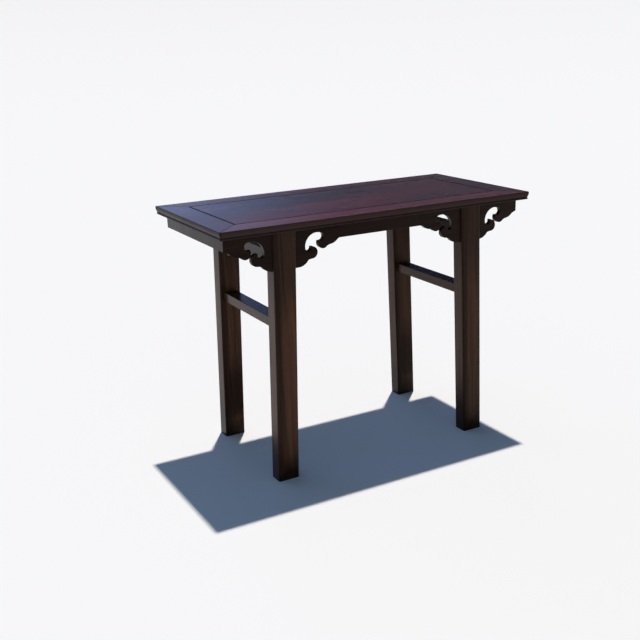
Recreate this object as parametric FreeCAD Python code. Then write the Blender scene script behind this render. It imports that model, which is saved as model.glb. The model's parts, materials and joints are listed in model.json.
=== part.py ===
"""Chinese recessed-leg console table: framed top, splayed legs, cloud spandrels, end bars.

Millimetres. +X runs along the table, +Y to its back, +Z up. The origin is on the floor under the middle.
"""
import FreeCAD
import Part
import math
import os
from typing import NamedTuple


class Bar(NamedTuple):
    """A bar from a front leg to a back leg, by the level of its middle, its section and its tenons."""
    level: float
    width: float
    height: float
    tenon_width: float
    tenon_height: float
    tenon_length: float


class LobeShares(NamedTuple):
    """Points of the two lobes of a cloud that nearly meet, each as (reach share, drop share)."""
    lower: tuple
    lower_hook: tuple
    upper_hook: tuple
    upper: tuple


# Whole table
LENGTH = 1170.0
DEPTH = 554.0
HEIGHT = 863.0

# Fits and cutting
CLEARANCE = 0.2
OVERRUN = 2.0

# Top frame and its moulded edge, from the upper arris down
RAIL_WIDTH = 87.0
RAIL_THICKNESS = 27.0
EDGE_ROUND = 2.0
SLOPE_HEIGHT = 11.0
SLOPE_DEPTH = 3.5
QUIRK_HEIGHT = 1.2
QUIRK_DEPTH = 1.5
BEAD_HEIGHT = 6.0
BEAD_BULGE = 1.2
ARRIS = 0.6

# Mitre joint of the top frame
CORNER_TENON_WIDTH = 34.0
CORNER_TENON_THICKNESS = 9.0
CORNER_TENON_TOP_COVER = 8.0
CORNER_TENON_INNER_WALL = 11.0
CORNER_TENON_END_COVER = 20.0
CORNER_TENON_ROOT = 6.0

# Floating panel
PANEL_THICKNESS = 14.0
PANEL_GAP = 4.0
TONGUE_THICKNESS = 6.0
TONGUE_LENGTH = 7.0
TONGUE_PLAY = 1.0

# Battens under the panel
BATTEN_SPACING_SHARE = 0.5
BATTEN_WIDTH = 32.0
BATTEN_HEIGHT = 11.0
DOVETAIL_NECK = 22.0
DOVETAIL_WIDTH = 28.0
DOVETAIL_DEPTH = 4.0
BATTEN_TENON_WIDTH = 22.0
BATTEN_TENON_THICKNESS = 7.0
BATTEN_TENON_LENGTH = 18.0

# Legs
LEG_FOOT_WIDTH = 74.0
LEG_TOP_WIDTH = 78.5
LEG_DEPTH = 54.0
LEG_ROUND = 5.5
LEG_END_DISTANCE = 203.5
LEG_SPLAY = 21.0
LEG_FRONT_INSET = 31.5
LEG_TENON_WIDTH = 40.0
LEG_TENON_HEIGHT = 12.0
FRONT_TENON_THICKNESS = 4.5
REAR_TENON_THICKNESS = 14.0

# Boards under the top: aprons, spandrels and end aprons
BOARD_THICKNESS = 16.0
BOARD_SETBACK = 8.0
APRON_HEIGHT = 48.0
END_APRON_HEIGHT = 43.5
END_APRON_INSET = 24.5
BOARD_ARRIS = 0.8
TOP_TONGUE_THICKNESS = 6.0
TOP_TONGUE_HEIGHT = 4.0
TOP_TONGUE_STOP = 42.0
SEAM_TONGUE_LENGTH = 8.0
SEAM_TONGUE_INSET = 9.0
SEAM_MARGIN = 5.0

# Cloud outline: toe beside the leg, reach from the toe and drop below the top frame
INNER_TOE = 9.5
OUTER_TOE = 3.5
CLOUD_REACH = 150.0
CLOUD_DROP = 125.5

# Stretchers
STRETCHER_WIDTH = 48.0
STRETCHER_HEIGHT = 32.0
STRETCHER_TOP = 546.0
STRETCHER_ROUND = 1.5
STRETCHER_TENON_WIDTH = 20.0
STRETCHER_TENON_HEIGHT = 20.0
STRETCHER_TENON_LENGTH = 28.0

# Cross rails between the tops of the legs, seen through the clouds
CROSS_RAIL_WIDTH = 28.0
CROSS_RAIL_HEIGHT = 41.0
CROSS_RAIL_DROP = 75.0
CROSS_RAIL_TENON_WIDTH = 12.0
CROSS_RAIL_TENON_HEIGHT = 22.0
CROSS_RAIL_TENON_LENGTH = 17.0

# Cloud outline from the toe at the leg to the apron, as (reach share, drop share)
TOE_SHARES = (0.0, 1.0)
TOE_CURVE_SHARES = (0.127, 0.963)
LOWER_CUSP_SHARES = (0.240, 0.838)
LOWER_LOBE_START_SHARES = (0.322, 0.822)
CRESCENT_NEAR_SHARES = (0.170, 0.540)
CRESCENT_BACK_SHARES = (0.246, 0.272)
CRESCENT_TOP_SHARES = (0.556, 0.192)
UPPER_LOBE_END_SHARES = (0.690, 0.555)
UPPER_CUSP_SHARES = (0.756, 0.518)
STEP_CURVE_SHARES = (0.873, 0.483)
STEP_END_SHARES = (0.960, 0.401)
INNER_LOBE_SHARES = LobeShares((0.460, 0.670), (0.308, 0.515), (0.494, 0.388), (0.516, 0.560))
OUTER_LOBE_SHARES = LobeShares((0.470, 0.656), (0.316, 0.497), (0.480, 0.378), (0.496, 0.560))

# Levels and faces that several pieces share
UNDERSIDE = HEIGHT - RAIL_THICKNESS
PANEL_UNDERSIDE = HEIGHT - PANEL_THICKNESS
HALF_LENGTH = LENGTH / 2
HALF_DEPTH = DEPTH / 2
OPENING_X = HALF_LENGTH - RAIL_WIDTH
OPENING_Y = HALF_DEPTH - RAIL_WIDTH
LEG_FRONT = -HALF_DEPTH + LEG_FRONT_INSET
LEG_REAR = LEG_FRONT + LEG_DEPTH
BOARD_FRONT = LEG_FRONT + BOARD_SETBACK
BOARD_REAR = BOARD_FRONT + BOARD_THICKNESS
BOARD_END_X = HALF_LENGTH - END_APRON_INSET
LEG_TOP_X = BOARD_END_X - LEG_END_DISTANCE
APRON_MEETS_X = LEG_TOP_X - LEG_TOP_WIDTH / 2 - INNER_TOE - CLOUD_REACH
SEAM_X = APRON_MEETS_X - SEAM_MARGIN


STRETCHER = Bar(
    STRETCHER_TOP - STRETCHER_HEIGHT / 2,
    STRETCHER_WIDTH,
    STRETCHER_HEIGHT,
    STRETCHER_TENON_WIDTH,
    STRETCHER_TENON_HEIGHT,
    STRETCHER_TENON_LENGTH,
)
CROSS_RAIL = Bar(
    UNDERSIDE - CROSS_RAIL_DROP - CROSS_RAIL_HEIGHT / 2,
    CROSS_RAIL_WIDTH,
    CROSS_RAIL_HEIGHT,
    CROSS_RAIL_TENON_WIDTH,
    CROSS_RAIL_TENON_HEIGHT,
    CROSS_RAIL_TENON_LENGTH,
)

SIDES = {"left": -1, "right": 1}
ROWS = {"front": 1, "back": -1}
X_AXIS = FreeCAD.Vector(1, 0, 0)
Y_AXIS = FreeCAD.Vector(0, 1, 0)
CENTRE = FreeCAD.Vector(0, 0, 0)


def point(x, y, z):
    return FreeCAD.Vector(x, y, z)


def block(x_span, y_span, z_span):
    """A box between two values on each axis."""
    low = point(x_span[0], y_span[0], z_span[0])
    size = point(x_span[1], y_span[1], z_span[1]) - low
    return Part.makeBox(size.x, size.y, size.z, low)


def middle(centre, width):
    """The span of a width about its centre."""
    return centre - width / 2, centre + width / 2


def grown(span, amount):
    return span[0] - amount, span[1] + amount


def plan_prism(corners, z_span):
    """An upright prism over a polygon of (x, y) corners."""
    ring = [point(x, y, z_span[0]) for x, y in corners]
    face = Part.Face(Part.makePolygon(ring + ring[:1]))
    return face.extrude(point(0, 0, z_span[1] - z_span[0]))


def outline_face(edges):
    return Part.Face(Part.Wire([edge.toShape() for edge in edges]))


def side_of(shape, side):
    """A piece made on the right, or its mirror image on the left."""
    return shape if SIDES[side] > 0 else shape.mirror(CENTRE, X_AXIS)


def row_of(shape, row):
    """A piece made at the front, or its mirror image at the back."""
    return shape if ROWS[row] > 0 else shape.mirror(CENTRE, Y_AXIS)


def leg_x(z):
    """Centre line of a right-hand leg at a height."""
    return LEG_TOP_X + LEG_SPLAY * (UNDERSIDE - z) / UNDERSIDE


def rail_profile():
    """Section of the top frame as (distance in from the edge, height) edges, with the moulded edge."""
    fascia_low = UNDERSIDE + BEAD_HEIGHT + QUIRK_HEIGHT + SLOPE_HEIGHT
    slope_low = fascia_low - SLOPE_HEIGHT
    bead_top = UNDERSIDE + BEAD_HEIGHT
    round_share = 1 - 0.5 ** 0.5

    def at(inward, z):
        return point(0, inward, z)

    corner_mid = at(EDGE_ROUND * round_share, HEIGHT - EDGE_ROUND * round_share)
    bead_mid = at(SLOPE_DEPTH - BEAD_BULGE, UNDERSIDE + BEAD_HEIGHT / 2)
    quirk_back = SLOPE_DEPTH + QUIRK_DEPTH
    return [
        Part.LineSegment(at(RAIL_WIDTH, UNDERSIDE), at(RAIL_WIDTH, HEIGHT - ARRIS)),
        Part.LineSegment(at(RAIL_WIDTH, HEIGHT - ARRIS), at(RAIL_WIDTH - ARRIS, HEIGHT)),
        Part.LineSegment(at(RAIL_WIDTH - ARRIS, HEIGHT), at(EDGE_ROUND, HEIGHT)),
        Part.Arc(at(EDGE_ROUND, HEIGHT), corner_mid, at(0, HEIGHT - EDGE_ROUND)),
        Part.LineSegment(at(0, HEIGHT - EDGE_ROUND), at(0, fascia_low)),
        Part.LineSegment(at(0, fascia_low), at(SLOPE_DEPTH, slope_low)),
        Part.LineSegment(at(SLOPE_DEPTH, slope_low), at(quirk_back, slope_low)),
        Part.LineSegment(at(quirk_back, slope_low), at(quirk_back, bead_top)),
        Part.LineSegment(at(quirk_back, bead_top), at(SLOPE_DEPTH, bead_top)),
        Part.Arc(at(SLOPE_DEPTH, bead_top), bead_mid, at(SLOPE_DEPTH, UNDERSIDE)),
        Part.LineSegment(at(SLOPE_DEPTH, UNDERSIDE), at(RAIL_WIDTH, UNDERSIDE)),
    ]


def mitred_rail(run, half_width):
    """A rail along X at the front of a frame, mitred at both ends."""
    bar = outline_face(rail_profile()).extrude(point(run, 0, 0))
    bar.translate(point(-run / 2, -half_width, 0))
    inner = run / 2 - RAIL_WIDTH
    corners = [
        (-run / 2, -half_width),
        (run / 2, -half_width),
        (inner, -half_width + RAIL_WIDTH),
        (-inner, -half_width + RAIL_WIDTH),
    ]
    return bar.common(plan_prism(corners, (UNDERSIDE, HEIGHT)))


def panel_groove():
    """The groove round the frame's opening that the panel's tongue lies in."""
    reach = TONGUE_LENGTH + TONGUE_PLAY
    z_span = (PANEL_UNDERSIDE, PANEL_UNDERSIDE + TONGUE_THICKNESS + CLEARANCE)
    return block(middle(0, 2 * (OPENING_X + reach)), middle(0, 2 * (OPENING_Y + reach)), z_span)


def corner_tenon(play):
    """Tenon of the front rail at the right-hand mitre, or its mortise where play is given."""
    inner = -HALF_DEPTH + RAIL_WIDTH - CORNER_TENON_INNER_WALL
    root = OPENING_X - CORNER_TENON_ROOT
    top = HEIGHT - CORNER_TENON_TOP_COVER
    x_span = (root, HALF_LENGTH - CORNER_TENON_END_COVER + play)
    y_span = grown((inner - CORNER_TENON_WIDTH, inner), play)
    return block(x_span, y_span, grown((top - CORNER_TENON_THICKNESS, top), play))


def batten_tenon(x, play):
    """Tenon at the front end of a batten, or its mortise where play is given."""
    root = -OPENING_Y
    z_span = middle(PANEL_UNDERSIDE - BATTEN_HEIGHT / 2, BATTEN_TENON_THICKNESS)
    y_span = (root - BATTEN_TENON_LENGTH - play, root)
    return block(grown(middle(x, BATTEN_TENON_WIDTH), play), y_span, grown(z_span, play))


def leg_tenons(play):
    """The two tenons on a right front leg's cheeks, or their mortises where play is given."""
    x_span = grown(middle(LEG_TOP_X, LEG_TENON_WIDTH), play)
    z_span = (UNDERSIDE, UNDERSIDE + LEG_TENON_HEIGHT + play)
    front = middle((LEG_FRONT + BOARD_FRONT) / 2, FRONT_TENON_THICKNESS)
    rear = middle((BOARD_REAR + LEG_REAR) / 2, REAR_TENON_THICKNESS)
    return [block(x_span, grown(y_span, play), z_span) for y_span in (front, rear)]


def top_tongue(x_span, play):
    """Tongue on a front board's upper edge, or the groove for it where play is given."""
    y_span = grown(middle((BOARD_FRONT + BOARD_REAR) / 2, TOP_TONGUE_THICKNESS), play)
    return block(grown(x_span, play), y_span, (UNDERSIDE, UNDERSIDE + TOP_TONGUE_HEIGHT + play))


def end_tongue(play):
    """Tongue on the right end apron's upper edge, or the groove for it where play is given."""
    x_span = grown(middle(BOARD_END_X - BOARD_THICKNESS / 2, TOP_TONGUE_THICKNESS), play)
    y_span = grown(middle(0, -2 * (BOARD_FRONT + TOP_TONGUE_STOP)), play)
    return block(x_span, y_span, (UNDERSIDE, UNDERSIDE + TOP_TONGUE_HEIGHT + play))


def batten_places():
    spacing = OPENING_X * BATTEN_SPACING_SHARE
    return {"left": -spacing, "centre": 0, "right": spacing}


def front_rail():
    """Long rail of the top, with tenons at its mitres and every seat that it offers."""
    tongue_end = BOARD_END_X - TOP_TONGUE_STOP
    cuts = [panel_groove(), top_tongue((-tongue_end, tongue_end), CLEARANCE)]
    cuts += [batten_tenon(x, CLEARANCE) for x in batten_places().values()]
    for side in SIDES:
        cuts += [side_of(mortise, side) for mortise in leg_tenons(CLEARANCE)]
    rail = mitred_rail(LENGTH, HALF_DEPTH).cut(cuts)
    tenon = corner_tenon(0).cut(panel_groove())
    return rail.fuse([side_of(tenon, side) for side in SIDES]).removeSplitter()


def right_rail():
    """End rail of the top, with the mortises at its mitres."""
    rail = mitred_rail(DEPTH, HALF_LENGTH)
    rail.rotate(CENTRE, point(0, 0, 1), 90)
    cuts = [panel_groove(), end_tongue(CLEARANCE)]
    cuts += [row_of(corner_tenon(CLEARANCE), row) for row in ROWS]
    return rail.cut(cuts)


def batten_section(x, play):
    """Section of a batten as a face at the middle of the table, with its dovetail upward."""
    low = PANEL_UNDERSIDE - BATTEN_HEIGHT
    top = PANEL_UNDERSIDE + DOVETAIL_DEPTH + play
    half = BATTEN_WIDTH / 2
    neck = DOVETAIL_NECK / 2 + play
    wide = DOVETAIL_WIDTH / 2 + play
    right = [(half, low), (half, PANEL_UNDERSIDE), (neck, PANEL_UNDERSIDE), (wide, top)]
    ring = [point(x + across, 0, z) for across, z in right]
    ring += [point(x - across, 0, z) for across, z in reversed(right)]
    return Part.Face(Part.makePolygon(ring + ring[:1]))


def batten_bar(x, half_run, play):
    bar = batten_section(x, play).extrude(point(0, 2 * half_run, 0))
    bar.translate(point(0, -half_run, 0))
    return bar


def batten(x):
    """Batten with a tenon at each end."""
    tenons = [row_of(batten_tenon(x, 0), row) for row in ROWS]
    return batten_bar(x, OPENING_Y, 0).fuse(tenons).removeSplitter()


def panel():
    """Floating panel with a tongue all round and dovetail housings below."""
    half_x = OPENING_X - PANEL_GAP
    half_y = OPENING_Y - PANEL_GAP
    board = block((-half_x, half_x), (-half_y, half_y), (PANEL_UNDERSIDE, HEIGHT))
    upper = [edge for edge in board.Edges if edge.BoundBox.ZMin > HEIGHT - CLEARANCE]
    board = board.makeChamfer(ARRIS, upper)
    tongue_x = OPENING_X + TONGUE_LENGTH
    tongue_y = OPENING_Y + TONGUE_LENGTH
    tongue_top = PANEL_UNDERSIDE + TONGUE_THICKNESS
    tongue = block((-tongue_x, tongue_x), (-tongue_y, tongue_y), (PANEL_UNDERSIDE, tongue_top))
    housings = [batten_bar(x, tongue_y + OVERRUN, CLEARANCE) for x in batten_places().values()]
    return board.fuse(tongue).removeSplitter().cut(housings)


def leg_section(z, width):
    """Rounded rectangle of a right front leg at a height."""
    blank = block(middle(leg_x(z), width), (LEG_FRONT, LEG_REAR), (z, z + LEG_ROUND))
    uprights = [edge for edge in blank.Edges if edge.BoundBox.ZLength > LEG_ROUND / 2]
    rounded = blank.makeFillet(LEG_ROUND, uprights)
    return rounded.slice(point(0, 0, 1), z + LEG_ROUND / 2)[0].translated(point(0, 0, -LEG_ROUND / 2))


def bar_tenon(bar, play):
    """Tenon at the front end of a right-hand bar, or its mortise where play is given."""
    x_span = middle(leg_x(bar.level), bar.tenon_width)
    y_span = (LEG_REAR - bar.tenon_length - play, LEG_REAR)
    return block(grown(x_span, play), y_span, grown(middle(bar.level, bar.tenon_height), play))


def front_leg():
    """Right front leg: leaning post, open slot for the boards, tenons above and mortises behind."""
    sections = [leg_section(0, LEG_FOOT_WIDTH), leg_section(UNDERSIDE, LEG_TOP_WIDTH)]
    post = Part.makeLoft(sections, True, True)
    slot_x = grown(middle(LEG_TOP_X, LEG_TOP_WIDTH), LEG_SPLAY)
    slot_y = grown((BOARD_FRONT, BOARD_REAR), CLEARANCE)
    slot = block(slot_x, slot_y, (UNDERSIDE - CLOUD_DROP, UNDERSIDE + OVERRUN))
    post = post.cut([slot, bar_tenon(STRETCHER, CLEARANCE), bar_tenon(CROSS_RAIL, CLEARANCE)])
    return post.fuse(leg_tenons(0)).removeSplitter()


def end_bar(bar):
    """Right-hand bar between the front and back legs, with a tenon at each end."""
    length_span = (LEG_REAR, -LEG_REAR)
    timber = block(middle(leg_x(bar.level), bar.width), length_span, middle(bar.level, bar.height))
    along = [edge for edge in timber.Edges if edge.BoundBox.YLength > LEG_DEPTH]
    timber = timber.makeFillet(STRETCHER_ROUND, along)
    return timber.fuse([row_of(bar_tenon(bar, 0), row) for row in ROWS])


def arc_middle(start, along, end):
    """Middle of the arc between two points that leaves the first one in a given direction."""
    chord = end - start
    side = along - chord * (along.dot(chord) / chord.dot(chord))
    sagitta = chord.Length / 2 * math.tan(along.getAngle(chord) / 2)
    return start + chord / 2 + side.normalize() * sagitta


def cloud_edges(place, lobes, end_points):
    """Edges of a wing: along the top, down the leg's centre, round the cloud and out to its far end."""
    toe = place(TOE_SHARES)
    lower_cusp = place(LOWER_CUSP_SHARES)
    lower_start = place(LOWER_LOBE_START_SHARES)
    lower_hook = place(lobes.lower_hook)
    near = place(CRESCENT_NEAR_SHARES)
    crest = place(CRESCENT_TOP_SHARES)
    upper_hook = place(lobes.upper_hook)
    upper_end = place(UPPER_LOBE_END_SHARES)
    upper_cusp = place(UPPER_CUSP_SHARES)
    step_end = place(STEP_END_SHARES)
    back = Part.Arc(near, place(CRESCENT_BACK_SHARES), crest)
    foot = arc_middle(near, back.tangent(back.FirstParameter)[0] * -1, lower_hook)
    far = arc_middle(crest, back.tangent(back.LastParameter)[0], upper_hook)
    edges = [
        Part.Arc(toe, place(TOE_CURVE_SHARES), lower_cusp),
        Part.LineSegment(lower_cusp, lower_start),
        Part.Arc(lower_start, place(lobes.lower), lower_hook),
        Part.Arc(lower_hook, foot, near),
        back,
        Part.Arc(crest, far, upper_hook),
        Part.Arc(upper_hook, place(lobes.upper), upper_end),
        Part.LineSegment(upper_end, upper_cusp),
        Part.Arc(upper_cusp, place(STEP_CURVE_SHARES), step_end),
    ]
    ring = [step_end] + end_points + [toe]
    edges += [Part.LineSegment(a, b) for a, b in zip(ring, ring[1:])]
    return edges


def wing(outward, toe, lobes, end_points):
    """Front wing beside the right leg. It reaches outward where outward is 1, and inward where -1."""
    def place(shares):
        x = LEG_TOP_X + outward * (LEG_TOP_WIDTH / 2 + toe + shares[0] * CLOUD_REACH)
        return point(x, BOARD_FRONT, UNDERSIDE - shares[1] * CLOUD_DROP)

    leg_top = point(LEG_TOP_X, BOARD_FRONT, UNDERSIDE)
    leg_low = point(LEG_TOP_X, BOARD_FRONT, UNDERSIDE - CLOUD_DROP)
    face = outline_face(cloud_edges(place, lobes, end_points + [leg_top, leg_low]))
    return with_arrises(face.extrude(point(0, BOARD_THICKNESS, 0)))


def with_arrises(board):
    """Breaks the edge round a front board's lower outline, on its face."""
    low = [edge for edge in board.Edges if edge.BoundBox.YMax < BOARD_FRONT + CLEARANCE]
    low = [edge for edge in low if edge.BoundBox.ZMin < UNDERSIDE - BOARD_ARRIS]
    low = [edge for edge in low if edge.BoundBox.XLength > BOARD_ARRIS]
    return board.makeChamfer(BOARD_ARRIS, low)


def seam_tongue(play):
    """Tongue on the right end of the front apron, or the groove for it where play is given."""
    y_span = grown(middle((BOARD_FRONT + BOARD_REAR) / 2, TOP_TONGUE_THICKNESS), play)
    z_span = grown((UNDERSIDE - APRON_HEIGHT + SEAM_TONGUE_INSET, UNDERSIDE - SEAM_TONGUE_INSET), play)
    return block((SEAM_X, SEAM_X + SEAM_TONGUE_LENGTH + play), y_span, z_span)


def inner_spandrel():
    """Wing between the right leg and the apron."""
    low = UNDERSIDE - APRON_HEIGHT
    meets_apron = point(APRON_MEETS_X, BOARD_FRONT, low)
    ends = [meets_apron, point(SEAM_X, BOARD_FRONT, low), point(SEAM_X, BOARD_FRONT, UNDERSIDE)]
    board = wing(-1, INNER_TOE, INNER_LOBE_SHARES, ends).fuse(top_tongue((SEAM_X, LEG_TOP_X), 0))
    return board.cut(seam_tongue(CLEARANCE))


def outer_spandrel():
    """Wing between the right leg and the corner, mitred to meet the end apron."""
    ends = [
        point(BOARD_END_X, BOARD_FRONT, UNDERSIDE - END_APRON_HEIGHT),
        point(BOARD_END_X, BOARD_FRONT, UNDERSIDE),
    ]
    inner_corner = BOARD_END_X - BOARD_THICKNESS
    plan = [
        (LEG_TOP_X, BOARD_FRONT),
        (BOARD_END_X, BOARD_FRONT),
        (inner_corner, BOARD_REAR),
        (LEG_TOP_X, BOARD_REAR),
    ]
    board = wing(1, OUTER_TOE, OUTER_LOBE_SHARES, ends)
    board = board.common(plan_prism(plan, (UNDERSIDE - CLOUD_DROP, UNDERSIDE)))
    return board.fuse(top_tongue((LEG_TOP_X, BOARD_END_X - TOP_TONGUE_STOP), 0))


def apron():
    """Front apron between the inner wings, tongued at its ends and along its top."""
    bar = block((-SEAM_X, SEAM_X), (BOARD_FRONT, BOARD_REAR), (UNDERSIDE - APRON_HEIGHT, UNDERSIDE))
    bar = with_arrises(bar)
    tongues = [top_tongue((-SEAM_X, SEAM_X), 0)]
    tongues += [side_of(seam_tongue(0), side) for side in SIDES]
    return bar.fuse(tongues)


def end_apron():
    """Plain board under the right end rail, mitred to the outer wings."""
    inner = BOARD_END_X - BOARD_THICKNESS
    plan = [
        (BOARD_END_X, BOARD_FRONT),
        (BOARD_END_X, -BOARD_FRONT),
        (inner, -BOARD_REAR),
        (inner, BOARD_REAR),
    ]
    bar = plan_prism(plan, (UNDERSIDE - END_APRON_HEIGHT, UNDERSIDE))
    along = [edge for edge in bar.Edges if edge.BoundBox.XLength < CLEARANCE]
    along = [edge for edge in along if edge.BoundBox.ZMax < UNDERSIDE - BOARD_ARRIS]
    return bar.makeChamfer(BOARD_ARRIS, along).fuse(end_tongue(0))


def pieces():
    """Every piece by name."""
    named = {"top_panel": panel()}
    for row in ROWS:
        named[f"top_rail_{row}"] = row_of(front_rail(), row)
        named[f"apron_{row}"] = row_of(apron(), row)
    for place, x in batten_places().items():
        named[f"panel_batten_{place}"] = batten(x)
    for side in SIDES:
        named[f"top_rail_{side}"] = side_of(right_rail(), side)
        named[f"end_apron_{side}"] = side_of(end_apron(), side)
        named[f"stretcher_{side}"] = side_of(end_bar(STRETCHER), side)
        named[f"cross_rail_{side}"] = side_of(end_bar(CROSS_RAIL), side)
        for row in ROWS:
            named[f"leg_{row}_{side}"] = side_of(row_of(front_leg(), row), side)
            named[f"spandrel_{row}_{side}_inner"] = side_of(row_of(inner_spandrel(), row), side)
            named[f"spandrel_{row}_{side}_outer"] = side_of(row_of(outer_spandrel(), row), side)
    return named


os.makedirs("parts", exist_ok=True)
for name, shape in pieces().items():
    if not shape.isValid() or len(shape.Solids) != 1:
        raise ValueError(f"{name} is not one valid solid")
    shape.Solids[0].exportStep(f"parts/{name}.step")
    print(name, round(shape.Volume), "mm3")
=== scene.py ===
"""Looks of a Chinese recessed-leg console table: lacquered hardwood, floor, light and camera."""
import json
import math
from dataclasses import dataclass

import bmesh
import bpy
from bpy.props import FloatProperty, FloatVectorProperty, PointerProperty
from bpy.types import Operator, Panel, PropertyGroup
from mathutils import Matrix, Vector


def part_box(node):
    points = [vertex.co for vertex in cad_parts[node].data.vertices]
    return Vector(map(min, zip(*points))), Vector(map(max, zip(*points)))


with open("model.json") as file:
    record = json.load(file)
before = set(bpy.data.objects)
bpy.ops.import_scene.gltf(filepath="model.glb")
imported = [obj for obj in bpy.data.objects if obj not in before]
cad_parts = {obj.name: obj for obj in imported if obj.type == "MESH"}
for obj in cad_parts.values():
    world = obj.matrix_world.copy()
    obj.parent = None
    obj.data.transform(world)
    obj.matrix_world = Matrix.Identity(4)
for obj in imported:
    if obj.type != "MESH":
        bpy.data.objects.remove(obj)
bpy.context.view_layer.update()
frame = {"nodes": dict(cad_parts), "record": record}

bl_info = {
    "name": "Console Table Finish",
    "version": (1, 0, 0),
    "blender": (4, 5, 0),
    "location": "View3D > Sidebar > Console Table",
    "description": "Lacquered wood, floor, light and camera for a Chinese console table",
    "category": "Object",
}

FOOT_PLACE = next(mount["pos_m"] for mount in frame["record"]["mounts"] if mount["name"] == "foot")
ROWS = ("front", "back")
SIDES = ("left", "right")
COLOUR = "NodeSocketColor"
VALUE = "NodeSocketFloat"
VECTOR = "NodeSocketVector"

# Grain runs along the local X of a finish, so each direction is a turn of the pattern
ALONG_X = (0.0, 0.0, 0.0)
ALONG_Y = (0.0, 0.0, math.pi / 2)
ALONG_Z = (0.0, math.pi / 2, 0.0)

# Each piece has its own stretch of the tree: steps in metres along and across it, and tilts in degrees
ALONG_STEP = 0.37
ACROSS_STEPS = (0.021, 0.017)
PITCH_LEAST = 0.8
PITCH_STEP = 0.25
YAW_STEP = 0.5

# Noise of the wood in cycles per metre, along the grain and both ways across it
DRIFT_SCALE = (1.3, 6.0, 6.0)
BROAD_SCALE = (1.0, 34.0, 34.0)
STREAK_SCALE = (2.4, 120.0, 120.0)
FIBRE_SCALE = (14.0, 520.0, 520.0)
GROWTH_SCALE = (0.9, 52.0, 52.0)
BLOTCH_SCALE = (1.5, 44.0, 44.0)
PORE_SCALE = (42.0, 1300.0, 1300.0)
GRAIN_DRIFT = (0.0, 0.040, 0.030)
GROWTH_LINES = 7.0

# Bands of the noise in which each part of the figure sets in
BROAD_BAND = (0.32, 0.68)
STREAK_BAND = (0.34, 0.70)
LINE_BAND = (0.16, 0.02)
LINE_BREAK_BAND = (0.62, 0.42)
BLOTCH_BAND = (0.62, 0.38)
PORE_BAND = (0.60, 0.74)

# Share of each part of the figure in the tone, and in the height and satin of the surface
BROAD_SHARE = 0.55
STREAK_SHARE = 0.40
FIBRE_SHARE = 0.36
LINE_SHARE = 0.55
PORE_SHARE = 0.45
FIBRE_HEIGHT_SHARE = 0.35
FIBRE_SATIN = 0.10
PORE_SATIN = 0.10

# Edges: turn of the rounded normal at which one shows, patches of wear, and what an edge does to the lacquer
EDGE_BAND = (0.002, 0.05)
WEAR_SCALE = 22.0
WEAR_BAND = (0.42, 0.66)
EDGE_DULL_SHARE = 0.97
EDGE_SATIN = 0.35
BEVEL_SAMPLES = 6

# Haze: noise in cycles per metre, bands it sets in, least shares of it, and what it does to the lacquer
SPECK_SCALE = 160.0
FILM_SCALE = 3.2
FILM_BAND = (0.35, 0.75)
SMEAR_BAND = (0.3, 0.7)
UPWARD_BAND = (0.2, 0.95)
SPECK_LEAST = 0.4
UPRIGHT_LEAST = 0.3
HAZE_SHARE = 0.06
HAZE_DULL_SHARE = 0.15
SMEAR_SATIN = 0.10

# Painted shade on a leg, in metres: beside its centre line or above the floor, with its uneven outline. The
# strip beside the centre line stands in for the dark floor the leg reflects; the dark at the foot, low on
# the back legs and at the head stands in for shade near the floor and under the top
STRIP_SPAN = (-0.010, -0.026)
FOOT_SPAN = (0.085, 0.015)
HEAD_SPAN = (0.50, 0.72)
LOW_UPPER_SPAN = (0.36, 0.20)
LOW_LOWER_SPAN = (0.05, 0.12)
RAGGED_SCALE = (40.0, 40.0, 3.0)
RAGGED_SWING = 0.024
CLOUDY_SCALE = 9.0
CLOUDY_SWING = 0.12
STRIP_SHARE = 0.66
FOOT_SHARE = 0.78
HEAD_SHARE = 0.50
END_FACE_LEAST = 0.4

# Finish values of single kinds of piece
# On the top, the darkened edges are painted shade in the grooves and along the moulded edge
TOP_LACQUER = {"fineness": 0.35, "specular": 0.05, "pores": 0.14, "edge_share": 0.9}
# The rails' upright faces get painted light: a lighter colour chosen by the way they face
RAIL_LACQUER = {"fascia_painted_light_share": 0.95, "blotch": 0.7, "figure": 1.35}
PANEL_LACQUER = {"blotch": 0.82, "figure": 1.38}
BATTEN_LACQUER = {"wear_share": 0.1, "edge_share": 0.2}
STRETCHER_LACQUER = {"figure": 0.7, "specular": 0.26, "pores": 0.14}
# On the legs, the darkened edges are painted shade for the dark ground their rounded corners reflect
LEG_EDGE_SHARE = 0.92
LEG_SIGN = {"left": -1, "right": 1}
# The right legs get a darker, duller copy of the leg finish, with less figure, less specular and a dimmer
# sheen: painted shade
LEG_FIGURE = {"left": 1.0, "right": 0.72}
# Share of the painted shade low down, on the back legs only
LEG_LOW = {"front": 0.0, "back": 0.65}
LEG_SPECULAR = {"left": 0.35, "right": 0.26}
# The right cross rail, seen through a cloud opening, gets almost no specular so that it reads dark: painted
# shade
CROSS_RAIL_SPECULAR = {"left": 0.42, "right": 0.08}

# Parts of a unit vector between which the sky changes: upward, to the left and to the back
SKY_RISE_BAND = (0.32, 0.85)
SKY_LEFT_BAND = (0.50, 0.26)
SKY_BACK_BAND = (0.45, 0.75)

FLOOR_RINGS = 24
FLOOR_SIDES = 128
FLOOR_ROUGHNESS = 0.9
MERGE_DISTANCE = 1e-4
FAR_CLIP = 200.0


def colour_property(name, description, default):
    """A colour that a user may change."""
    return FloatVectorProperty(name=name, description=description, default=default, size=3,
                               subtype="COLOR", min=0.0, max=1.0)


def light_property(name, description, default):
    """The colour of a light, which may be brighter than white."""
    return FloatVectorProperty(name=name, description=description, default=default, size=3,
                               subtype="COLOR", min=0.0)


def share_property(name, description, default):
    """A share from none to all."""
    return FloatProperty(name=name, description=description, default=default,
                         min=0.0, max=1.0, subtype="FACTOR")


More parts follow.
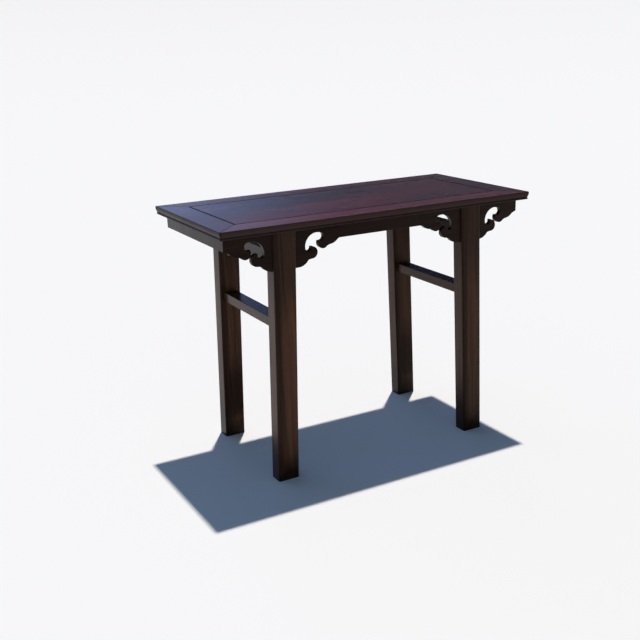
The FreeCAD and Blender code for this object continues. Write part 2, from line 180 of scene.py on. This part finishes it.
def length_property(name, description, default, precision=4):
    """A length in metres."""
    return FloatProperty(name=name, description=description, default=default,
                         min=0.0, unit="LENGTH", precision=precision)


def angle_property(name, description, degrees):
    """An angle, given in degrees."""
    return FloatProperty(name=name, description=description, default=math.radians(degrees), subtype="ANGLE")


class TableFinishSettings(PropertyGroup):
    """Stain and lacquer of the wood."""
    # The front rail's wood is a lighter, redder copy of the other rails': the difference is painted light
    # for the sun on the front of the top
    front_sunlit_stain: colour_property("Front stain", "Ground of the front rail", (0.030, 0.0068, 0.0074))
    front_sunlit_streak: colour_property("Front streak", "Figure in the front rail", (0.126, 0.0165, 0.021))
    rail_stain: colour_property("Rail stain", "Ground of the other top rails", (0.014, 0.0058, 0.0066))
    rail_streak: colour_property("Rail streak", "Figure in the other top rails", (0.066, 0.013, 0.016))
    # Painted light: the upright faces of the top rails get a lighter, greyer colour than their tops, by the
    # way they face
    fascia_painted_light: colour_property("Fascia stain", "Moulded edge of the top", (0.041, 0.0280, 0.0260))
    panel_stain: colour_property("Panel stain", "Ground of the top panel", (0.0060, 0.0048, 0.0055))
    panel_streak: colour_property("Panel streak", "Figure in the top panel", (0.080, 0.0125, 0.018))
    leg_stain: colour_property("Leg stain", "Ground of the legs and stretchers", (0.032, 0.0150, 0.0094))
    leg_streak: colour_property("Leg streak", "Figure in the legs and stretchers", (0.110, 0.051, 0.0290))
    apron_stain: colour_property("Apron stain", "Ground of the aprons", (0.0070, 0.0036, 0.0026))
    apron_streak: colour_property("Apron streak", "Figure in the aprons", (0.022, 0.0095, 0.0062))
    batten_stain: colour_property("Batten stain", "Ground of the battens", (0.070, 0.036, 0.021))
    batten_streak: colour_property("Batten streak", "Figure in the battens", (0.130, 0.075, 0.045))
    # Colour of the painted shade on the legs and of the darkened edges, which in the top's grooves and on
    # the legs' rounded corners are painted shade too
    dark_edge_and_painted_shade: colour_property("Edge stain", "Old dark lacquer on edges", (0.0050, 0.0028, 0.0022))
    worn_stain: colour_property("Worn stain", "Wood rubbed bare on edges", (0.10, 0.045, 0.028))
    pore_stain: colour_property("Pore stain", "Lacquer in the open pores", (0.004, 0.003, 0.0025))
    dust: colour_property("Dust", "Haze on the lacquer", (0.16, 0.15, 0.15))
    sheen: colour_property("Sheen", "Tint of the lacquer's sheen", (0.16, 0.14, 0.13))
    # Dimmer sheen of the right legs: part of their painted shade
    right_leg_sheen: colour_property("Right leg sheen", "Sheen of the right legs", (0.14, 0.113, 0.100))
    apron_sheen: colour_property("Apron sheen", "Sheen of the aprons", (0.10, 0.09, 0.08))
    cross_rail_sheen: colour_property("Cross rail sheen", "Sheen of the cross rails", (0.12, 0.115, 0.10))
    top_roughness: share_property("Top roughness", "Satin of the top", 0.28)
    side_roughness: share_property("Side roughness", "Satin of the rest", 0.36)
    stretcher_roughness: share_property("Stretcher roughness", "Satin of the stretchers", 0.27)
    top_index: FloatProperty(name="Top index", description="Refractive index of the waxed top",
                             default=1.3, min=1.0, max=2.0)
    front_coat: share_property("Front coat", "Wax on the front rail", 1.0)
    back_coat: share_property("Back coat", "Wax on the back rail", 0.58)
    end_coat: share_property("End coat", "Wax on the end rails", 0.74)
    panel_coat: share_property("Panel coat", "Wax on the panel", 0.76)
    pore_depth: length_property("Pore depth", "Depth of the open pores", 0.00025, 5)
    wear_width: length_property("Wear width", "Width of the worn arrises", 0.0025)
    # Widths of the darkened edges: painted shade in the top's grooves and on the legs' rounded corners
    groove_width: length_property("Groove width", "Width of the dark edges of the top", 0.005)
    leg_edge_width: length_property("Leg edge width", "Width of the dark edges of the legs", 0.006)
    leg_foot: length_property("Leg foot", "Distance of a foot from the middle", FOOT_PLACE[0])
    leg_lean: FloatProperty(name="Leg lean", description="Sideways lean of a leg for each unit of height",
                            default=0.0258)


class TableStageSettings(PropertyGroup):
    """Floor, light and camera."""
    floor_colour: colour_property("Floor", "Colour of the floor", (0.93, 0.93, 0.93))
    floor_flat: length_property("Floor flat", "Radius of the level floor", 10.0)
    floor_reach: length_property("Floor reach", "Radius of the rim", 80.0)
    floor_rise: length_property("Floor rise", "Height of the rim", 6.8)
    key_strength: FloatProperty(name="Key", description="Strength of the overhead key light", default=2.92)
    key_angle: angle_property("Key softness", "Angular size of the key light", 1.4)
    key_colour: colour_property("Key colour", "Colour of the key light", (1.0, 0.945, 0.873))
    key_way: FloatVectorProperty(name="Key way", description="Direction towards the key light",
                                 default=(0.140, 0.170, 0.860), subtype="XYZ")
    sky_overhead: light_property("Sky overhead", "Sky above the table", (0.040, 0.092, 0.146))
    sky_left: light_property("Sky left", "Low sky on the left", (0.23, 0.27, 0.33))
    sky_back: light_property("Sky back", "Low sky at the back left", (0.40, 0.58, 1.10))
    sky_right: light_property("Sky right", "Low sky on the right", (0.016, 0.018, 0.066))
    camera_place: FloatVectorProperty(name="Camera", description="Place of the camera",
                                      default=(-1.6394, -2.8460, 1.4300), subtype="TRANSLATION")
    camera_yaw: angle_property("Yaw", "Turn of the view from +Y towards +X", 29.479)
    camera_pitch: angle_property("Pitch", "Downward tilt of the view", 17.009)
    camera_roll: angle_property("Roll", "Roll of the view", -1.524)
    camera_lens: FloatProperty(name="Lens", description="Focal length for a 36 mm sensor", default=53.875)
    camera_shift: FloatProperty(name="Shift", description="Sideways shift of the lens", default=-0.0315)


@dataclass
class Finish:
    """Stain and lacquer of one kind of piece, where a share runs from none to all."""
    stain: tuple
    streak: tuple
    roughness: float
    sheen: tuple
    edge_width: float
    fineness: float = 1.0
    figure: float = 1.0
    blotch: float = 0.0
    # Share of the painted light on the upright faces of the top rails
    fascia_painted_light_share: float = 0.0
    edge_share: float = 0.6
    wear_share: float = 0.25
    specular: float = 0.35
    coat: float = 0.0
    pores: float = 0.35
    leg_side: int = 0
    leg_low: float = 0.0


class NodeSheet:
    """A node tree with short calls to add and join nodes."""

    def __init__(self, tree):
        self.tree = tree

    def add(self, kind, settings=None, **inputs):
        """Adds a node. Inputs are named by socket, with spaces as underscores, or by index as i0, i1."""
        node = self.tree.nodes.new(kind)
        for key, value in (settings or {}).items():
            setattr(node, key, value)
        for key, value in inputs.items():
            self.feed(self.socket(node, key), value)
        return node

    def socket(self, node, key):
        if key[0] == "i" and key[1:].isdigit():
            return node.inputs[int(key[1:])]
        return node.inputs[key.replace("_", " ")]

    def feed(self, socket, value):
        """Links a socket to another one, or sets its value."""
        if isinstance(value, bpy.types.NodeSocket):
            self.tree.links.new(value, socket)
        else:
            socket.default_value = value

    def math(self, operation, *values, clamp=False):
        node = self.add("ShaderNodeMath", {"operation": operation, "use_clamp": clamp})
        for socket, value in zip(node.inputs, values):
            self.feed(socket, value)
        return node.outputs[0]

    def times(self, first, second):
        return self.math("MULTIPLY", first, second)

    def swing(self, value, width):
        """Turns 0..1 into a swing of this width about zero."""
        return self.math("MULTIPLY_ADD", value, width, -width / 2)

    def fade(self, mask, share):
        """One, less this share where the mask is full."""
        return self.math("MULTIPLY_ADD", mask, -share, 1.0)

    def lift(self, value, least):
        """Turns 0..1 into least..1."""
        return self.math("MULTIPLY_ADD", value, 1.0 - least, least)

    def ramp(self, value, band):
        """Maps a value from the first to the second end of a band to 0..1, smoothly."""
        low, high = band
        node = self.add("ShaderNodeMapRange", {"interpolation_type": "SMOOTHSTEP"}, Value=value,
                        From_Min=low, From_Max=high)
        return node.outputs["Result"]

    def mix(self, factor, first, second):
        """Mixes two colours."""
        node = self.add("ShaderNodeMix", {"data_type": "RGBA"}, i0=factor, i6=first, i7=second)
        return node.outputs[2]

    def noise(self, vector, scale, detail, roughness=0.55, distortion=0.0):
        """Noise with one scale for all directions, or a tuple with one for each."""
        if isinstance(scale, tuple):
            vector = self.stretched(vector, scale)
            scale = 1.0
        node = self.add("ShaderNodeTexNoise", Vector=vector, Scale=scale, Detail=detail,
                        Roughness=roughness, Distortion=distortion)
        return node.outputs["Fac"]

    def stretched(self, vector, factors):
        node = self.add("ShaderNodeVectorMath", {"operation": "MULTIPLY"}, i0=vector, i1=factors)
        return node.outputs[0]

    def dot(self, first, second):
        node = self.add("ShaderNodeVectorMath", {"operation": "DOT_PRODUCT"}, i0=first, i1=second)
        return node.outputs["Value"]

    def parts(self, vector):
        """The X, Y and Z of a vector."""
        return self.add("ShaderNodeSeparateXYZ", Vector=vector).outputs

    def true_normal(self):
        return self.add("ShaderNodeNewGeometry").outputs["True Normal"]

    def group(self, name, maker, **inputs):
        """Adds a shader group, which is built when it is first needed."""
        tree = bpy.data.node_groups.get(name) or maker(name)
        return self.add("ShaderNodeGroup", {"node_tree": tree}, **inputs).outputs


def opaque(colour):
    """A colour with full alpha."""
    return (*colour, 1.0)


def new_group(name, inputs, outputs):
    """A shader group with sockets given as name and type, where inputs also have a default."""
    tree = bpy.data.node_groups.new(name, "ShaderNodeTree")
    for label, kind, default in inputs:
        socket = tree.interface.new_socket(name=label, in_out="INPUT", socket_type=kind)
        if default is not None:
            socket.default_value = default
    for label, kind in outputs:
        tree.interface.new_socket(name=label, in_out="OUTPUT", socket_type=kind)
    sheet = NodeSheet(tree)
    return sheet, sheet.add("NodeGroupInput").outputs, sheet.add("NodeGroupOutput").inputs


def grain_group(name):
    """Streaks, dark growth lines and pores of a dense hardwood, with the grain along X."""
    settings = bpy.context.scene.table_finish
    inputs = [("Vector", VECTOR, None), ("Stain", COLOUR, opaque(settings.leg_stain)),
              ("Streak", COLOUR, opaque(settings.leg_streak)), ("Fineness", VALUE, 1.0),
              ("Figure", VALUE, 1.0), ("Blotch", VALUE, 0.0)]
    sheet, given, out = new_group(name, inputs, [("Color", COLOUR), ("Roughness", VALUE), ("Height", VALUE)])
    across = sheet.add("ShaderNodeCombineXYZ", X=1.0, Y=given["Fineness"], Z=given["Fineness"]).outputs[0]
    place = sheet.stretched(given["Vector"], across)
    drift = sheet.noise(place, DRIFT_SCALE, detail=2.0)
    bent = sheet.add("ShaderNodeVectorMath", {"operation": "MULTIPLY_ADD"},
                     i0=drift, i1=GRAIN_DRIFT, i2=place).outputs[0]
    broad = sheet.noise(bent, BROAD_SCALE, detail=3.0, roughness=0.5)
    streak = sheet.noise(bent, STREAK_SCALE, detail=4.0, roughness=0.6)
    fibre = sheet.noise(place, FIBRE_SCALE, detail=3.0, roughness=0.6)
    growth = sheet.noise(bent, GROWTH_SCALE, detail=2.0, roughness=0.45)
    blotch = sheet.noise(place, BLOTCH_SCALE, detail=3.0, roughness=0.55, distortion=0.3)
    pore = sheet.ramp(sheet.noise(given["Vector"], PORE_SCALE, detail=2.0), PORE_BAND)

    tone = sheet.times(sheet.ramp(broad, BROAD_BAND), BROAD_SHARE)
    tone = sheet.math("ADD", tone, sheet.times(sheet.ramp(streak, STREAK_BAND), STREAK_SHARE))
    tone = sheet.math("ADD", tone, sheet.swing(fibre, FIBRE_SHARE))
    ring = sheet.math("FRACT", sheet.times(growth, GROWTH_LINES))
    line = sheet.math("ABSOLUTE", sheet.math("SUBTRACT", ring, 0.5))
    line = sheet.times(sheet.ramp(line, LINE_BAND), sheet.ramp(streak, LINE_BREAK_BAND))
    tone = sheet.times(tone, sheet.fade(line, LINE_SHARE))
    patch = sheet.times(sheet.ramp(blotch, BLOTCH_BAND), given["Blotch"])
    tone = sheet.times(tone, sheet.fade(patch, 1.0))
    tone = sheet.math("MULTIPLY", tone, given["Figure"], clamp=True)

    colour = sheet.mix(tone, given["Stain"], given["Streak"])
    colour = sheet.mix(sheet.times(pore, PORE_SHARE), colour, opaque(settings.pore_stain))
    roughness = sheet.math("ADD", sheet.swing(fibre, FIBRE_SATIN), sheet.times(pore, PORE_SATIN))
    sheet.feed(out["Color"], colour)
    sheet.feed(out["Roughness"], roughness)
    sheet.feed(out["Height"], sheet.math("SUBTRACT", sheet.times(fibre, FIBRE_HEIGHT_SHARE), pore))
    return sheet.tree


def arris_group(name):
    """Mask of the edges, and of the patches where handling has worn them."""
    width = bpy.context.scene.table_finish.wear_width
    inputs = [("Vector", VECTOR, None), ("Width", VALUE, width)]
    sheet, given, out = new_group(name, inputs, [("Edge", VALUE), ("Wear", VALUE)])
    bevel = sheet.add("ShaderNodeBevel", {"samples": BEVEL_SAMPLES}, Radius=given["Width"]).outputs[0]
    turn = sheet.math("SUBTRACT", 1.0, sheet.dot(bevel, sheet.true_normal()))
    edge = sheet.ramp(turn, EDGE_BAND)
    patch = sheet.noise(given["Vector"], WEAR_SCALE, detail=5.0, roughness=0.65)
    sheet.feed(out["Edge"], edge)
    sheet.feed(out["Wear"], sheet.times(edge, sheet.ramp(patch, WEAR_BAND)))
    return sheet.tree


def haze_group(name):
    """Fine dust and hand haze that dulls the lacquer, more on faces that look up."""
    outputs = [("Haze", VALUE), ("Smear", VALUE), ("Upward", VALUE)]
    sheet, given, out = new_group(name, [("Vector", VECTOR, None)], outputs)
    upward = sheet.ramp(sheet.parts(sheet.true_normal())["Z"], UPWARD_BAND)
    speck = sheet.noise(given["Vector"], SPECK_SCALE, detail=5.0, roughness=0.7)
    film = sheet.noise(given["Vector"], FILM_SCALE, detail=5.0, roughness=0.6, distortion=0.4)
    haze = sheet.times(sheet.ramp(film, FILM_BAND), sheet.lift(speck, SPECK_LEAST))
    sheet.feed(out["Haze"], sheet.times(haze, sheet.lift(upward, UPRIGHT_LEAST)))
    sheet.feed(out["Smear"], sheet.ramp(film, SMEAR_BAND))
    sheet.feed(out["Upward"], upward)
    return sheet.tree


def leg_shade_group(name):
    """Painted shade along one side of a leg's faces, at its foot, low down and under the top."""
    inputs = [("Vector", VECTOR, None), ("Across", VALUE, 0.0), ("Low", VALUE, 0.0)]
    sheet, given, out = new_group(name, inputs, [("Shade", VALUE)])
    along = sheet.parts(given["Vector"])["Z"]
    facing = sheet.math("ABSOLUTE", sheet.parts(sheet.true_normal())["Y"])
    ragged = sheet.noise(given["Vector"], RAGGED_SCALE, detail=4.0, roughness=0.6)
    across = sheet.math("ADD", given["Across"], sheet.swing(ragged, RAGGED_SWING))
    strip = sheet.times(sheet.ramp(across, STRIP_SPAN), facing)
    cloudy = sheet.noise(given["Vector"], CLOUDY_SCALE, detail=4.0, roughness=0.6)
    height = sheet.math("ADD", along, sheet.swing(cloudy, CLOUDY_SWING))
    near = sheet.times(height, sheet.lift(facing, END_FACE_LEAST))
    foot = sheet.times(sheet.ramp(near, FOOT_SPAN), FOOT_SHARE)
    head = sheet.times(sheet.ramp(height, HEAD_SPAN), HEAD_SHARE)
    low = sheet.times(sheet.ramp(height, LOW_UPPER_SPAN), sheet.ramp(height, LOW_LOWER_SPAN))
    low = sheet.times(sheet.times(low, facing), given["Low"])
    shade = sheet.math("MAXIMUM", sheet.times(strip, STRIP_SHARE), sheet.math("MAXIMUM", foot, head))
    sheet.feed(out["Shade"], sheet.math("MAXIMUM", shade, low))
    return sheet.tree


def leg_shade(sheet, finish, place):
    """Mask of the painted shade on a leg, measured from its leaning centre line."""
    settings = bpy.context.scene.table_finish
    lean = sheet.dot(place, (1.0, 0.0, finish.leg_side * settings.leg_lean))
    across = sheet.math("SUBTRACT", lean, finish.leg_side * settings.leg_foot)
    shade = sheet.group("Leg Shade", leg_shade_group, Vector=place, Across=across, Low=finish.leg_low)
    return shade["Shade"]


def lacquer_colour(sheet, finish, place, grain, arris, haze):
    """Colour of the wood with its fascia (painted light), the legs' painted shade, dark edges (painted shade
    in the top's grooves and on the legs' rounded corners), worn edges and dust laid over it in turn.
    """
    settings = bpy.context.scene.table_finish
    colour = grain["Color"]
    # Painted light on the upright faces of the top rails
    if finish.fascia_painted_light_share:
        upright = sheet.math("SUBTRACT", 1.0, haze["Upward"])
        colour = sheet.mix(sheet.times(upright, finish.fascia_painted_light_share), colour, opaque(settings.fascia_painted_light))
    # Painted shade on the legs
    if finish.leg_side:
        colour = sheet.mix(leg_shade(sheet, finish, place), colour, opaque(settings.dark_edge_and_painted_shade))
    # Darkened edges: painted shade in the top's grooves and on the legs' rounded corners, elsewhere simply
    # darker edges
    colour = sheet.mix(sheet.times(arris["Edge"], finish.edge_share), colour, opaque(settings.dark_edge_and_painted_shade))
    colour = sheet.mix(sheet.times(arris["Wear"], finish.wear_share), colour, opaque(settings.worn_stain))
    return sheet.mix(sheet.times(haze["Haze"], HAZE_SHARE), colour, opaque(settings.dust))


def lacquer(name, finish, turn, offset, tilt):
    """A procedural lacquered wood for one piece.

    turn lays the grain along the piece, and offset and tilt give each piece its own stretch of the tree.
    """
    settings = bpy.context.scene.table_finish
    material = bpy.data.materials.new(name)
    material.use_nodes = True
    material.node_tree.nodes.clear()
    sheet = NodeSheet(material.node_tree)
    place = sheet.add("ShaderNodeTexCoord").outputs["Object"]
    turned = sheet.add("ShaderNodeMapping", {"vector_type": "TEXTURE"},
                       Vector=place, Rotation=turn).outputs[0]
    board = sheet.add("ShaderNodeMapping", Vector=turned, Location=offset, Rotation=tilt).outputs[0]
    grain = sheet.group("Hardwood Grain", grain_group, Vector=board, Stain=opaque(finish.stain),
                        Streak=opaque(finish.streak), Fineness=finish.fineness, Figure=finish.figure,
                        Blotch=finish.blotch)
    arris = sheet.group("Arris Edges and Wear", arris_group, Vector=place, Width=finish.edge_width)
    haze = sheet.group("Surface Haze", haze_group, Vector=place)

    colour = lacquer_colour(sheet, finish, place, grain, arris, haze)
    rough = sheet.math("ADD", finish.roughness, grain["Roughness"])
    rough = sheet.math("ADD", rough, sheet.swing(haze["Smear"], SMEAR_SATIN))
    rough = sheet.math("MULTIPLY_ADD", arris["Edge"], EDGE_SATIN, rough, clamp=True)
    bump = sheet.add("ShaderNodeBump", Strength=finish.pores, Distance=settings.pore_depth,
                     Height=grain["Height"]).outputs[0]
    shader = sheet.add("ShaderNodeBsdfPrincipled", Base_Color=colour, Roughness=rough, Normal=bump,
                       Specular_IOR_Level=finish.specular, Specular_Tint=opaque(finish.sheen),
                       Coat_Roughness=settings.top_roughness, Coat_IOR=settings.top_index)
    if finish.coat:
        coat = sheet.math("MULTIPLY_ADD", haze["Haze"], -HAZE_DULL_SHARE * finish.coat, finish.coat)
        coat = sheet.times(coat, sheet.fade(arris["Edge"], EDGE_DULL_SHARE))
        sheet.feed(shader.inputs["Coat Weight"], sheet.times(coat, haze["Upward"]))
    sheet.add("ShaderNodeOutputMaterial", Surface=shader.outputs[0])
    return material


def finish_of(stain, streak, **changes):
    """A finish with the usual satin, sheen and edges, apart from the changes."""
    settings = bpy.context.scene.table_finish
    usual = {"roughness": settings.side_roughness, "sheen": settings.sheen,
             "edge_width": settings.wear_width}
    return Finish(stain, streak, **(usual | changes))


def stretch_of_tree(name):
    """Shift and tilt of the wood in one piece, picked by its name from a few places each way."""
    spread = sum(ord(letter) for letter in name)
    upward, sideways = ACROSS_STEPS
    shift = Vector((ALONG_STEP * (spread % 11), upward * (spread % 5 - 2), sideways * (spread % 7 - 3)))
    pitch = PITCH_LEAST + PITCH_STEP * (spread % 4)
    yaw = YAW_STEP * (spread % 3 - 1)
    return shift, (0.0, math.radians(pitch), math.radians(yaw))


def finish_nodes(names, finish, turn):
    """Gives each named piece its own board of one kind of lacquered wood."""
    turned = Matrix.Rotation(turn[1], 3, "Y") @ Matrix.Rotation(turn[2], 3, "Z")
    for name in names:
        piece = frame["nodes"][name]
        low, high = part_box(name)
        centre = (low + high) / 2
        shift, tilt = stretch_of_tree(name)
        offset = shift - turned.transposed() @ centre
        piece.data.materials.clear()
        piece.data.materials.append(lacquer(f"{name}_lacquer", finish, turn, offset, tilt))


class TableOperator(Operator):
    """Shared settings of the table's operators."""
    bl_options = {"REGISTER", "UNDO"}


class TABLE_OT_top_frame(TableOperator):
    """Finish the mitred frame of the top"""
    bl_idname = "table.top_frame"
    bl_label = "Top Frame"

    def execute(self, context):
        settings = context.scene.table_finish
        shared = {"roughness": settings.top_roughness, "edge_width": settings.groove_width}
        shared |= TOP_LACQUER | RAIL_LACQUER
        # The front rail takes the painted-light copy of the rail wood
        front = finish_of(settings.front_sunlit_stain, settings.front_sunlit_streak, coat=settings.front_coat, **shared)
        back = finish_of(settings.rail_stain, settings.rail_streak, coat=settings.back_coat, **shared)
        ends = finish_of(settings.rail_stain, settings.rail_streak, coat=settings.end_coat, **shared)
        finish_nodes(["top_rail_front"], front, ALONG_X)
        finish_nodes(["top_rail_back"], back, ALONG_X)
        finish_nodes([f"top_rail_{side}" for side in SIDES], ends, ALONG_Y)
        return {"FINISHED"}


class TABLE_OT_top_panel(TableOperator):
    """Finish the floating panel of the top"""
    bl_idname = "table.top_panel"
    bl_label = "Top Panel"

    def execute(self, context):
        settings = context.scene.table_finish
        finish = finish_of(settings.panel_stain, settings.panel_streak, roughness=settings.top_roughness,
                           edge_width=settings.groove_width, coat=settings.panel_coat,
                           **TOP_LACQUER, **PANEL_LACQUER)
        finish_nodes(["top_panel"], finish, ALONG_X)
        return {"FINISHED"}


class TABLE_OT_battens(TableOperator):
    """Finish the battens under the panel"""
    bl_idname = "table.battens"
    bl_label = "Battens"

    def execute(self, context):
        settings = context.scene.table_finish
        finish = finish_of(settings.batten_stain, settings.batten_streak, **BATTEN_LACQUER)
        finish_nodes([f"panel_batten_{place}" for place in ("left", "centre", "right")], finish, ALONG_Y)
        return {"FINISHED"}


class TABLE_OT_legs(TableOperator):
    """Finish the four splayed legs"""
    bl_idname = "table.legs"
    bl_label = "Legs"

    def execute(self, context):
        settings = context.scene.table_finish
        # The right legs take the darker, duller copy of the finish: painted shade
        sheens = {"left": settings.sheen, "right": settings.right_leg_sheen}
        for side in SIDES:
            for row in ROWS:
                finish = finish_of(settings.leg_stain, settings.leg_streak, figure=LEG_FIGURE[side],
                                   edge_share=LEG_EDGE_SHARE, edge_width=settings.leg_edge_width,
                                   leg_side=LEG_SIGN[side], leg_low=LEG_LOW[row],
                                   sheen=sheens[side], specular=LEG_SPECULAR[side])
                finish_nodes([f"leg_{row}_{side}"], finish, ALONG_Z)
        return {"FINISHED"}


class TABLE_OT_aprons(TableOperator):
    """Finish the aprons and the cloud spandrels"""
    bl_idname = "table.aprons"
    bl_label = "Aprons and Spandrels"

    def execute(self, context):
        settings = context.scene.table_finish
        finish = finish_of(settings.apron_stain, settings.apron_streak, sheen=settings.apron_sheen)
        finish_nodes([f"apron_{row}" for row in ROWS], finish, ALONG_X)
        for row in ROWS:
            for side in SIDES:
                wings = [f"spandrel_{row}_{side}_{wing}" for wing in ("inner", "outer")]
                finish_nodes(wings, finish, ALONG_X)
        finish_nodes([f"end_apron_{side}" for side in SIDES], finish, ALONG_Y)
        return {"FINISHED"}


class TABLE_OT_stretchers(TableOperator):
    """Finish the stretchers and cross rails between the legs"""
    bl_idname = "table.stretchers"
    bl_label = "Stretchers and Cross Rails"

    def execute(self, context):
        settings = context.scene.table_finish
        finish = finish_of(settings.leg_stain, settings.leg_streak, roughness=settings.stretcher_roughness,
                           **STRETCHER_LACQUER)
        finish_nodes([f"stretcher_{side}" for side in SIDES], finish, ALONG_Y)
        # The right cross rail's dull copy of the finish is painted shade
        for side in SIDES:
            finish = finish_of(settings.apron_stain, settings.apron_streak, sheen=settings.cross_rail_sheen,
                               specular=CROSS_RAIL_SPECULAR[side])
            finish_nodes([f"cross_rail_{side}"], finish, ALONG_Y)
        return {"FINISHED"}


class TABLE_OT_stage(TableOperator):
    """Build the floor, the light and the camera"""
    bl_idname = "table.stage"
    bl_label = "Floor, Light and Camera"

    def execute(self, context):
        scene = context.scene
        settings = scene.table_stage
        scene.view_settings.view_transform = "Standard"
        self.build_floor(scene, settings)
        self.build_sky(scene, settings)
        self.build_key(scene, settings)
        self.build_camera(scene, settings)
        return {"FINISHED"}

    def build_floor(self, scene, settings):
        """A level floor that rises far off, so that it fills the background."""
        mesh = bpy.data.meshes.new("floor")
        sheet = bmesh.new()
        line = [sheet.verts.new((0, 0, 0))]
        for ring in range(FLOOR_RINGS + 1):
            share = ring / FLOOR_RINGS
            radius = settings.floor_flat + share * (settings.floor_reach - settings.floor_flat)
            line.append(sheet.verts.new((radius, 0, settings.floor_rise * share ** 2)))
        edges = [sheet.edges.new(pair) for pair in zip(line, line[1:])]
        bmesh.ops.spin(sheet, geom=line + edges, axis=(0, 0, 1), cent=(0, 0, 0), angle=2 * math.pi,
                       steps=FLOOR_SIDES, use_merge=True)
        bmesh.ops.remove_doubles(sheet, verts=sheet.verts, dist=MERGE_DISTANCE)
        bmesh.ops.recalc_face_normals(sheet, faces=sheet.faces)
        for face in sheet.faces:
            face.smooth = True
        sheet.to_mesh(mesh)
        sheet.free()
        floor = bpy.data.objects.new("floor", mesh)
        scene.collection.objects.link(floor)
        material = bpy.data.materials.new("pale_floor")
        material.use_nodes = True
        shader = material.node_tree.nodes["Principled BSDF"]
        shader.inputs["Base Color"].default_value = opaque(settings.floor_colour)
        shader.inputs["Roughness"].default_value = FLOOR_ROUGHNESS
        shader.inputs["Specular IOR Level"].default_value = 0.0
        floor.data.materials.append(material)

    def build_sky(self, scene, settings):
        """A soft cool sky: dim on the right and overhead, brighter low on the left and at the back."""
        world = bpy.data.worlds.new("soft_sky")
        world.use_nodes = True
        world.node_tree.nodes.clear()
        sheet = NodeSheet(world.node_tree)
        way = sheet.parts(sheet.add("ShaderNodeTexCoord").outputs["Generated"])
        rise = sheet.ramp(way["Z"], SKY_RISE_BAND)
        left = sheet.ramp(way["X"], SKY_LEFT_BAND)
        back = sheet.ramp(way["Y"], SKY_BACK_BAND)
        beside = sheet.mix(back, opaque(settings.sky_left), opaque(settings.sky_back))
        horizon = sheet.mix(left, opaque(settings.sky_right), beside)
        sky = sheet.mix(rise, horizon, opaque(settings.sky_overhead))
        light = sheet.add("ShaderNodeBackground", Color=sky, Strength=1.0)
        sheet.add("ShaderNodeOutputWorld", Surface=light.outputs[0])
        scene.world = world

    def build_key(self, scene, settings):
        """A small overhead light from the back right, which puts the shadow under and before the table."""
        lamp = bpy.data.lights.new("key", "SUN")
        lamp.energy = settings.key_strength
        lamp.angle = settings.key_angle
        lamp.color = settings.key_colour
        key = bpy.data.objects.new("key", lamp)
        key.rotation_euler = Vector(settings.key_way).to_track_quat("Z", "Y").to_euler()
        scene.collection.objects.link(key)

    def build_camera(self, scene, settings):
        """A camera turned by yaw, pitch and roll."""
        yaw = settings.camera_yaw
        pitch = settings.camera_pitch
        roll = settings.camera_roll
        ahead = Vector((math.sin(yaw) * math.cos(pitch), math.cos(yaw) * math.cos(pitch), -math.sin(pitch)))
        level = Vector((math.cos(yaw), -math.sin(yaw), 0))
        upright = level.cross(ahead)
        right = math.cos(roll) * level + math.sin(roll) * upright
        up = math.cos(roll) * upright - math.sin(roll) * level
        camera = bpy.data.objects.new("camera", bpy.data.cameras.new("camera"))
        camera.data.lens = settings.camera_lens
        camera.data.shift_x = settings.camera_shift
        camera.data.clip_end = FAR_CLIP
        turn = Matrix((right, up, -ahead)).transposed().to_4x4()
        camera.matrix_world = Matrix.Translation(settings.camera_place) @ turn
        scene.collection.objects.link(camera)
        scene.camera = camera


OPERATORS = (TABLE_OT_top_frame, TABLE_OT_top_panel, TABLE_OT_battens, TABLE_OT_legs, TABLE_OT_aprons,
             TABLE_OT_stretchers, TABLE_OT_stage)


class TABLE_PT_panel(Panel):
    """Sidebar panel of the table"""
    bl_idname = "TABLE_PT_panel"
    bl_label = "Console Table"
    bl_space_type = "VIEW_3D"
    bl_region_type = "UI"
    bl_category = "Console Table"

    def draw(self, context):
        for settings in (context.scene.table_finish, context.scene.table_stage):
            for key in settings.bl_rna.properties.keys():
                if key not in ("rna_type", "name"):
                    self.layout.prop(settings, key)
        for operator in OPERATORS:
            self.layout.operator(operator.bl_idname)


CLASSES = (TableFinishSettings, TableStageSettings, *OPERATORS, TABLE_PT_panel)


def register():
    for cls in CLASSES:
        bpy.utils.register_class(cls)
    bpy.types.Scene.table_finish = PointerProperty(type=TableFinishSettings)
    bpy.types.Scene.table_stage = PointerProperty(type=TableStageSettings)


def unregister():
    del bpy.types.Scene.table_stage
    del bpy.types.Scene.table_finish
    for cls in reversed(CLASSES):
        bpy.utils.unregister_class(cls)


def main():
    register()
    for operator in OPERATORS:
        category, name = operator.bl_idname.split(".")
        getattr(getattr(bpy.ops, category), name)()


if __name__ == "__main__":
    main()
